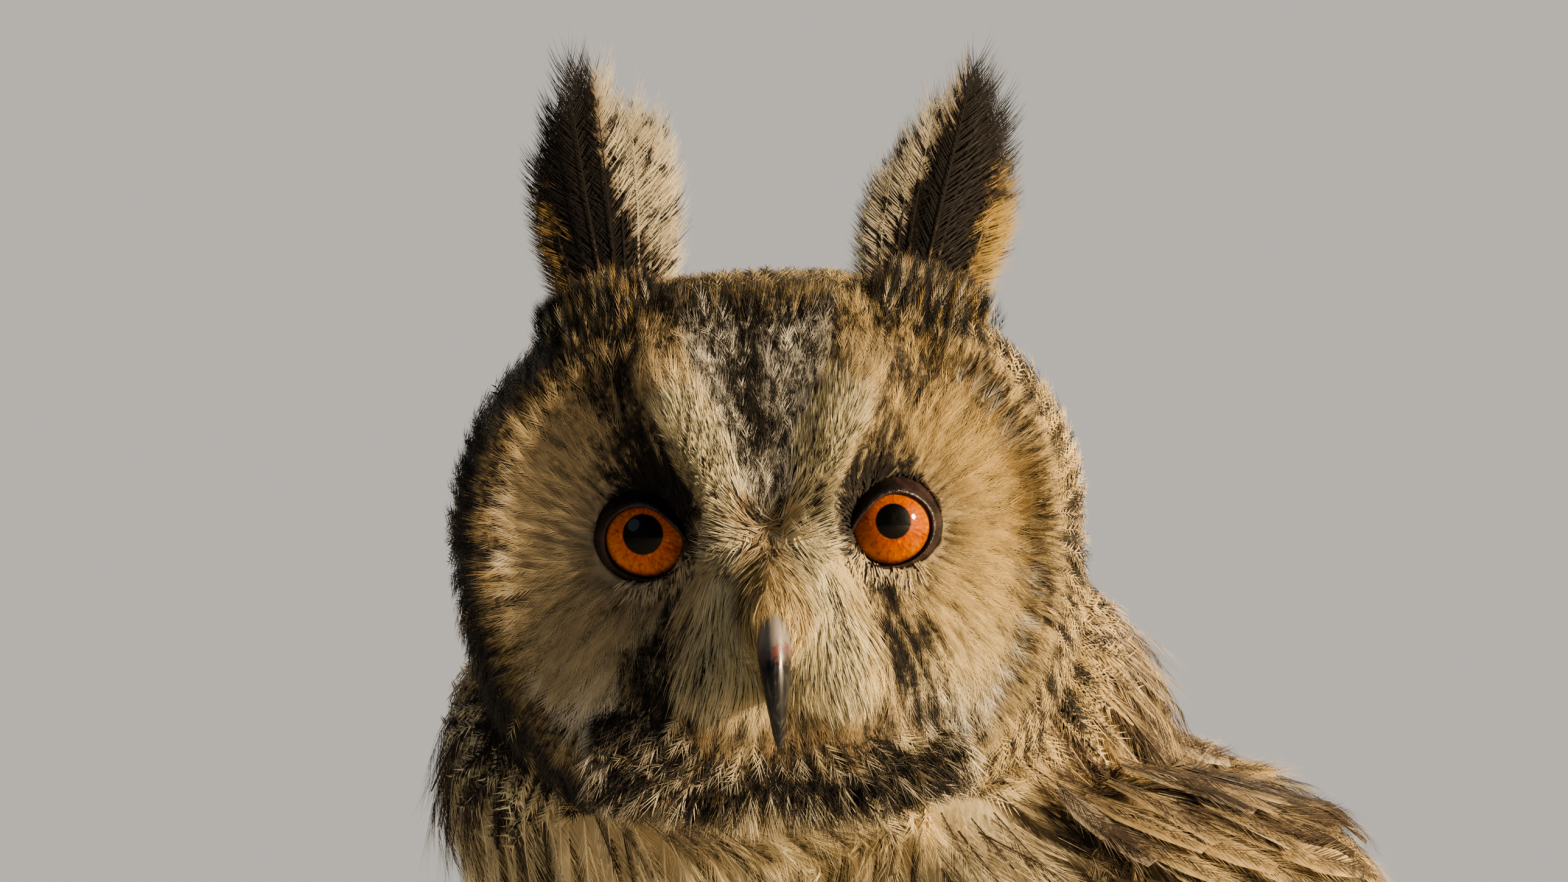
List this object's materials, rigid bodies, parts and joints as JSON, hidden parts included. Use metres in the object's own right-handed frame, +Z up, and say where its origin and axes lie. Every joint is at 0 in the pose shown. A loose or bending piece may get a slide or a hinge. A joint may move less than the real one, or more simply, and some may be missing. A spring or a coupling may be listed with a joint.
{
  "type": "long-eared owl",
  "caption": "Life-size long-eared owl standing with folded wings, raised ear tufts and its face turned to one side.",
  "frame": {"origin": "middle of the whole owl's base, on the floor under its feet", "axes": "+Z up, the face looks along -Y, the body is turned about Z from the face, towards -X"},
  "size_m": [0.2208, 0.2302, 0.3363],
  "materials": {
    "plumage": "soft buff and brown feathers",
    "dark_plumage": "dark brown feathers",
    "leg_plumage": "short buff feathers",
    "horn": "dark grey horn with a soft shine",
    "eye": "wet, clear and orange",
    "lid": "bare dark skin"
  },
  "bodies": {
    "root": {"bill_lower": "horn", "bill_upper": "horn", "claw_left_hind": "horn", "claw_left_inner": "horn", "claw_left_middle": "horn", "claw_left_outer": "horn", "claw_right_hind": "horn", "claw_right_inner": "horn", "claw_right_middle": "horn", "claw_right_outer": "horn", "ear_tuft_left": "dark_plumage", "ear_tuft_right": "dark_plumage", "eye_left": "eye", "eye_right": "eye", "foot_left": "leg_plumage", "foot_right": "leg_plumage", "head": "plumage", "lids_left": "lid", "lids_right": "lid", "neck": "plumage", "shank_left": "leg_plumage", "shank_right": "leg_plumage", "tail": "plumage", "thigh_left": "leg_plumage", "thigh_right": "leg_plumage", "torso": "plumage", "wing_left": "plumage", "wing_right": "plumage"}
  },
  "joints": []
}
